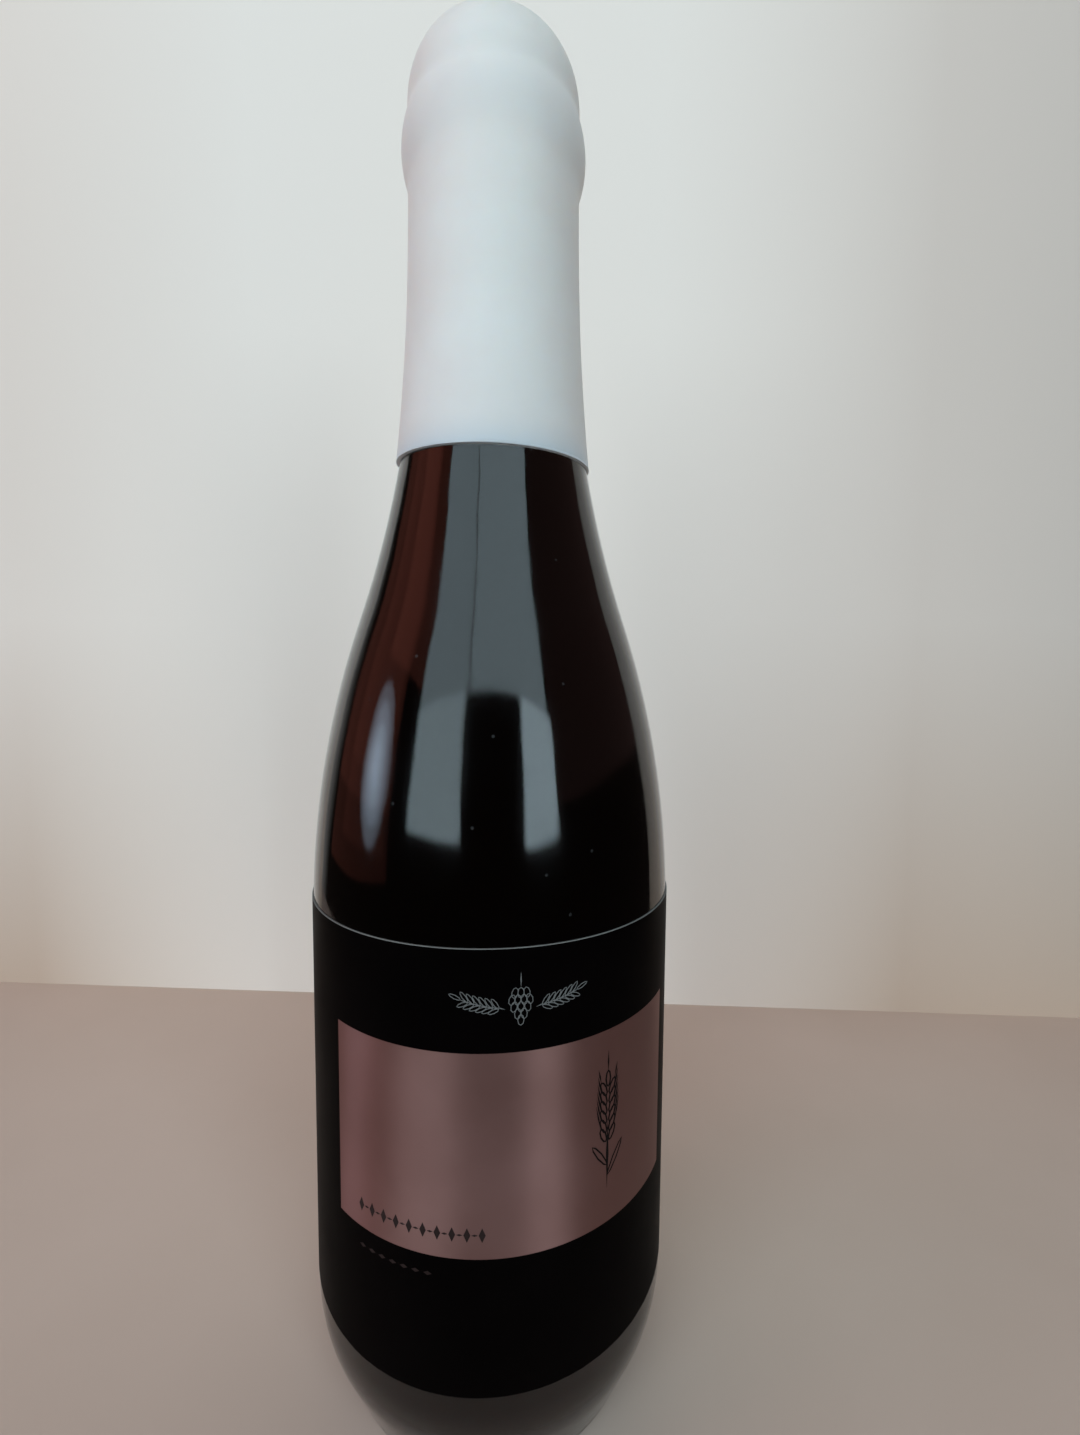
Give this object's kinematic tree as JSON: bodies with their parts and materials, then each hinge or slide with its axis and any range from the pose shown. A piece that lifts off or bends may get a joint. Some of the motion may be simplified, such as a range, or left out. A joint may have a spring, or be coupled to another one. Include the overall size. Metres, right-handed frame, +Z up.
{
  "type": "bottle of beer",
  "caption": "Small dark glass beer bottle with a sloping shoulder and punt, filled and sealed under dipped white wax, with a wrap-round paper label.",
  "frame": {"origin": "centre of the bottle's base, on the plane of the standing ring", "axes": "+Z up along the bottle to the mouth; the middle of the label's front faces -Y; the label's gap faces +Y"},
  "size_m": [0.0704, 0.0703, 0.2572],
  "materials": {
    "bottle_glass": "smooth, glossy, very dark brown",
    "beer": "clear dark liquid, shown as a dark solid",
    "label_paper": "black satin print with a rose metallic panel",
    "sealing_wax": "soft white dipped wax with a satin sheen"
  },
  "bodies": {
    "root": {"glass_bottle": "bottle_glass", "beer": "beer", "label": "label_paper", "wax_seal": "sealing_wax"}
  },
  "joints": []
}
